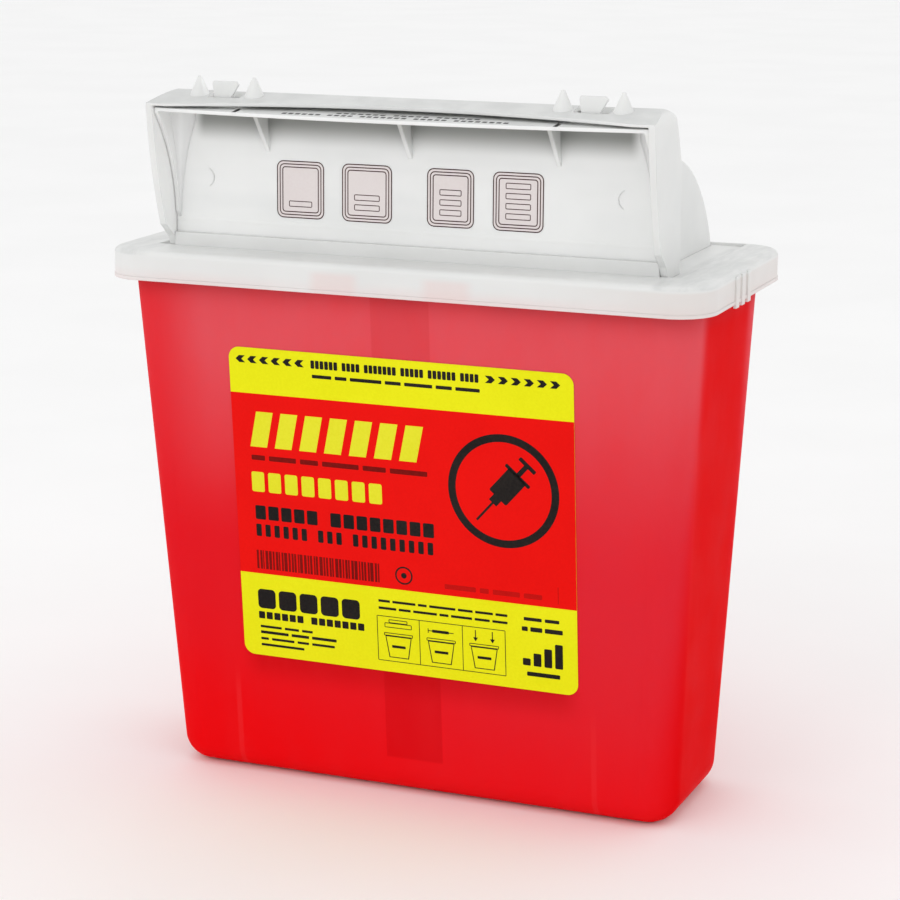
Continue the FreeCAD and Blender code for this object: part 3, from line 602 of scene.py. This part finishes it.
def blend_corners():
    """Concave blends between the tray's panel and its two end webs."""
    tree = surface("drop_tray")
    mesh = bpy.data.meshes.new("tray_corner_blends")
    bm = bmesh.new()
    for side in (-1.0, 1.0):
        face = tray_web_face(tree)
        rows = []
        for step in range(33):
            height = 0.2525 + 0.0015 * step
            level = min(height, 0.2985)
            panel = tree.ray_cast(Vector((side * 0.100, -0.043, level)), Vector((0.0, 1.0, 0.0)))[0].y
            edge = tree.ray_cast(Vector((side * (face + 0.0009), -0.5, level)), Vector((0.0, 1.0, 0.0)))[0].y
            radius = max(0.0004, min(0.008, 0.52 * (panel - edge)))
            row = []
            for turn in range(9):
                angle = math.radians(90.0 * turn / 8.0)
                across = face - radius + radius * math.sin(angle)
                deep = panel - radius + radius * math.cos(angle)
                row.append(bm.verts.new((side * across, deep, height)))
            row.append(bm.verts.new((side * (face + 0.0004), panel - radius, height)))
            row.append(bm.verts.new((side * (face + 0.0004), panel + 0.0004, height)))
            row.append(bm.verts.new((side * (face - radius), panel + 0.0004, height)))
            rows.append(row)
        for first, second in zip(rows, rows[1:]):
            for step in range(len(first)):
                after = (step + 1) % len(first)
                bm.faces.new((first[step], first[after], second[after], second[step]))
        bm.faces.new(rows[0])
        bm.faces.new(rows[-1])
    bmesh.ops.recalc_face_normals(bm, faces=bm.faces)
    for polygon in bm.faces:
        polygon.smooth = len(polygon.verts) == 4
    bm.to_mesh(mesh)
    bm.free()
    mesh.materials.append(MATERIALS["white_tray"])
    piece = bpy.data.objects.new("tray_corner_blends", mesh)
    scene.collection.objects.link(piece)
    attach(piece, "tray")


def tray_web_face(tree):
    """Half of the clear width between the tray's end webs."""
    start = Vector((0.100, -0.0395, 0.275))
    return tree.ray_cast(start, Vector((1.0, 0.0, 0.0)))[0].x


def print_tray():
    """Level pictograms and moulding marks on the panel, and rows of marks on the lip."""
    fill = Print("panel_fill", "drop_tray", "tray", INKS["pink"])
    marks = Print("panel_marks", "drop_tray", "tray", INKS["maroon"], 1)
    level = 0
    for left, right in ((-61.8, -39.7), (-31.3, -8.3), (7.7, 28.8), (37.2, 59.6)):
        level += 1
        fill.plate(box(left, 254.6, right, 279.0, 3.0))
        for step in range(3):
            inset = step * 1.25
            edges = (left + inset, 254.6 + inset, right - inset, 279.0 - inset)
            marks.frame(*edges, 0.42, 3.0 - step * 0.8)
        for step in range(level):
            low = 259.4 + step * 4.2
            marks.frame(left + 5.6, low, right - 5.6, low + 2.6, 0.34, 0.6)
    fill.done()
    marks.done()

    # Painted highlight: the raised crescents' plastic is made lighter than the panel.
    moulding = Print("panel_moulding", "drop_tray", "tray", white_plastic("white_moulding_highlight_pp", level=0.17))
    for side in (-1.0, 1.0):
        arc = [math.radians(115.0 + 7.0 * step) for step in range(19)]
        outer = [(side * (96.0 + 4.3 * math.cos(turn)), 270.0 + 4.3 * math.sin(turn)) for turn in arc]
        inner = [(side * (96.0 + 3.9 * math.cos(turn)), 270.0 + 3.9 * math.sin(turn)) for turn in arc]
        moulding.plate(outer + list(reversed(inner)))
    moulding.done()

    lip = Print("lip_marks", "drop_tray", "tray", INKS["grey"], 0, above=True)
    lip.row(-50.0, 52.0, -56.9, -54.7, [6, 4, 7, 5, 8], 0.35, 0.1)
    lip.row(-27.0, 38.0, -52.4, -50.6, [7, 5, 6], 0.35, 0.1)
    lip.done()


# ---------------------------------------------------------------- stage

def make_floor():
    """A wide pale floor at the height the container stands on."""
    mesh = bpy.data.meshes.new("floor")
    bm = bmesh.new()
    bmesh.ops.create_circle(bm, cap_ends=True, segments=96, radius=30.0)
    bm.to_mesh(mesh)
    bm.free()
    floor = bpy.data.objects.new("floor", mesh)
    floor.location.z = CAD_BOX[0].z - 0.0001
    scene.collection.objects.link(floor)
    mesh.materials.append(floor_paper("floor_paper"))


def add_area(name, spot, aim, size, power):
    """A soft square white light aimed at a point."""
    lamp = bpy.data.lights.new(name, "AREA")
    lamp.shape = "SQUARE"
    lamp.size = size
    lamp.energy = power
    light = bpy.data.objects.new(name, lamp)
    light.location = spot
    light.rotation_euler = (Vector(aim) - Vector(spot)).to_track_quat("-Z", "Y").to_euler()
    scene.collection.objects.link(light)


def make_light():
    """A bright even tent with a softbox above and one to each side."""
    world = bpy.data.worlds.new("studio")
    scene.world = world
    world.use_nodes = True
    back = world.node_tree.nodes["Background"]
    back.inputs["Color"].default_value = (1.0, 1.0, 1.0, 1.0)
    back.inputs["Strength"].default_value = 0.96
    middle = (0.0, 0.0, 0.16)
    add_area("key", (-0.5, -1.9, 1.3), middle, 0.9, 3.6)
    add_area("fill", (1.6, -0.9, 0.7), middle, 1.2, 0.5)
    add_area("top", (0.1, -0.1, 1.8), middle, 1.6, 1.0)


def make_camera():
    """Camera in front, to the right and a little above."""
    azimuth = math.radians(22.48)
    elevation = math.radians(13.45)
    distance = 1.1474
    target = Vector((0.0022, 0.0007, 0.1494))
    back = Vector((
        math.sin(azimuth) * math.cos(elevation),
        -math.cos(azimuth) * math.cos(elevation),
        math.sin(elevation),
    ))
    data = bpy.data.cameras.new("camera")
    data.sensor_width = 36.0
    data.lens = 103.96
    data.clip_start = 0.05
    data.clip_end = 100.0
    camera = bpy.data.objects.new("camera", data)
    camera.location = target + back * distance
    camera.rotation_euler = (-back).to_track_quat("-Z", "Y").to_euler()
    scene.collection.objects.link(camera)
    scene.camera = camera


blend_corners()
print_label()
print_tray()
make_floor()
make_light()
make_camera()
scene.view_settings.view_transform = "Standard"
scene.view_settings.look = "None"
